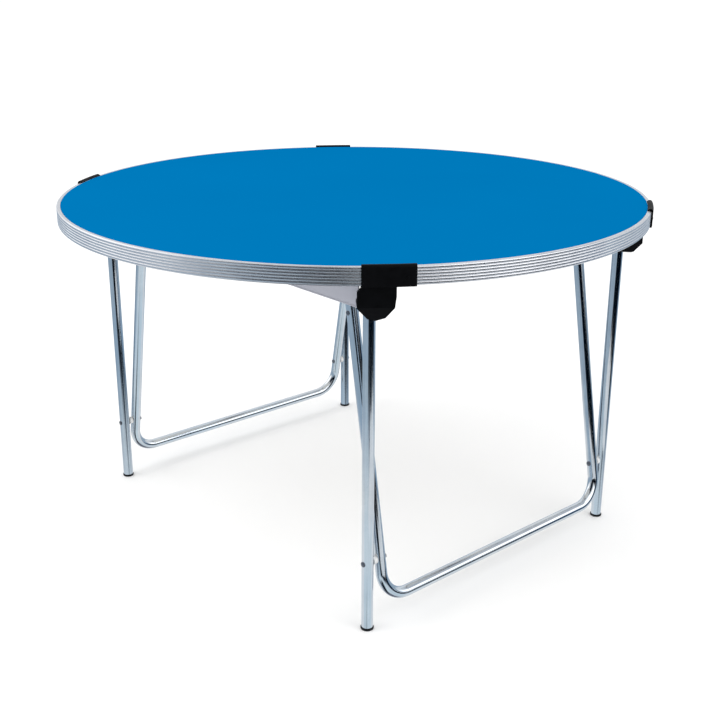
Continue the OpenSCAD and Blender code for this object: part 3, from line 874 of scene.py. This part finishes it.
# Cards round the studio, seen only in gloss. For each: where it lies in degrees round from +X and
# above the horizon, how soft its edges are in degrees, and its colour. Later cards cover earlier
# ones, and a range beyond 180 or 90 degrees has no edge there.
CARDS = [
    ((-200, 200), (-24, 3), 3, (0.36, 0.46, 0.56)),
    ((-110, 40), (-66, -24), 6, (0.70, 0.80, 0.86)),
    ((-200, 200), (-110, -68), 8, (0.15, 0.16, 0.20)),
    ((-98, -32), (-84, -40), 8, (0.03, 0.04, 0.06)),
    ((-98, -32), (6, 60), 8, (0.03, 0.04, 0.06)),
    ((-200, -118), (8, 50), 10, (1.5, 1.5, 1.5)),
    ((-8, 60), (8, 55), 8, (2.0, 2.0, 2.0)),
    ((38, 56), (-24, 1), 4, (0.03, 0.08, 0.16)),
    ((-26, 6), (-25, -12), 3, (0.02, 0.04, 0.07)),
    ((-54, 44), (-21, 1), 2, (0.0, 0.002, 0.006)),
    ((-72, 6), (-3, 9), 2, (0.0, 0.001, 0.004)),
    ((-64, -41), (4, 110), 4, (0.0, 0.001, 0.004)),
    ((-64, -41), (-110, -34), 4, (0.0, 0.001, 0.004)),
    ((40, 110), (30, 110), 8, (0.55, 0.57, 0.60)),
]


def stripe(tree, angle, low, high, soft, whole):
    """One between two angles and zero beyond them. The angle runs from 0 to 1 over the whole."""
    lowest, highest = -whole / 2, whole / 2
    stops = [(low - soft, 0.0), (low + soft, 1.0), (high - soft, 1.0), (high + soft, 0.0)]
    inside = [(a, grey) for a, grey in stops if lowest < a < highest]
    ends = [(lowest, float(low < lowest)), (highest, float(high > highest))]
    places = [((a - lowest) / whole, grey) for a, grey in sorted(inside + ends)]
    return ramp(tree, angle, places, output="Result")


def full_range(tree, source, output, limit):
    """A value between two opposite limits, mapped to run from 0 to 1."""
    node = tree.nodes.new("ShaderNodeMapRange")
    node.inputs["From Min"].default_value = -limit
    node.inputs["From Max"].default_value = limit
    link(tree, source, output, node, "Value")
    return node


def only_in_gloss(obj):
    """Makes a glowing object of the stage that only glossy surfaces see."""
    obj.visible_camera = False
    obj.visible_diffuse = False
    obj.visible_shadow = False
    obj.visible_transmission = False


def reflection_cards():
    """A pale dome with soft-edged cards, which only glossy surfaces see."""
    bm = bmesh.new()
    bmesh.ops.create_uvsphere(bm, u_segments=64, v_segments=32, radius=20)
    obj = new_object("reflection_cards", bm)
    material = bpy.data.materials.new("cards")
    material.use_nodes = True
    tree = material.node_tree
    tree.nodes.clear()
    output = tree.nodes.new("ShaderNodeOutputMaterial")
    glow = tree.nodes.new("ShaderNodeEmission")
    link(tree, glow, "Emission", output, "Surface")
    coords = tree.nodes.new("ShaderNodeTexCoord")
    unit = tree.nodes.new("ShaderNodeVectorMath")
    unit.operation = "NORMALIZE"
    link(tree, coords, "Object", unit, 0)
    parts = tree.nodes.new("ShaderNodeSeparateXYZ")
    link(tree, unit, "Vector", parts, "Vector")
    turn = tree.nodes.new("ShaderNodeMath")
    turn.operation = "ARCTAN2"
    link(tree, parts, "Y", turn, 0)
    link(tree, parts, "X", turn, 1)
    lift = tree.nodes.new("ShaderNodeMath")
    lift.operation = "ARCSINE"
    link(tree, parts, "Z", lift, 0)
    around = full_range(tree, turn, "Value", math.pi)
    upwards = full_range(tree, lift, "Value", math.pi / 2)
    colour = (0.84, 0.86, 0.88)
    for (left, right), (low, high), soft, shade in CARDS:
        across = stripe(tree, around, left, right, soft, 360)
        above = stripe(tree, upwards, low, high, soft, 180)
        both = tree.nodes.new("ShaderNodeMath")
        both.operation = "MULTIPLY"
        link(tree, across, "Color", both, 0)
        link(tree, above, "Color", both, 1)
        colour = mixed(tree, both.outputs["Value"], colour, shade)
    tree.links.new(colour, glow.inputs["Color"])
    glow.inputs["Strength"].default_value = 1.0
    obj.data.materials.append(material)
    material.cycles.emission_sampling = "NONE"
    only_in_gloss(obj)


def floor_sheet():
    """A pale sheet on the floor beside end a, which only glossy surfaces see."""
    bm = bmesh.new()
    near, far, front, back, lift = 0.80, 1.48, -0.60, 0.50, 0.001
    corners = [(near, front), (far, front), (far, back), (near, back)]
    bm.faces.new([bm.verts.new((x, y, lift)) for x, y in corners])
    obj = new_object("floor_sheet", bm)
    material, tree, surface = shader("sheet_glow", "", (0, 0, 0), 1.0, specular=0.0)
    surface.inputs["Emission Color"].default_value = (0.80, 0.83, 0.86, 1)
    surface.inputs["Emission Strength"].default_value = 1.0
    obj.data.materials.append(material)
    material.cycles.emission_sampling = "NONE"
    only_in_gloss(obj)


camera()
floor()
floor_sheet()
soft_light("key", (-1.5, -3.0, 4.5), (0, 0, 0.4), size=4.0, power=60)
soft_light("fill", (4.0, 1.5, 3.5), (0, 0, 0.4), size=4.0, power=40)
surroundings()
reflection_cards()
bpy.context.scene.view_settings.view_transform = "Standard"
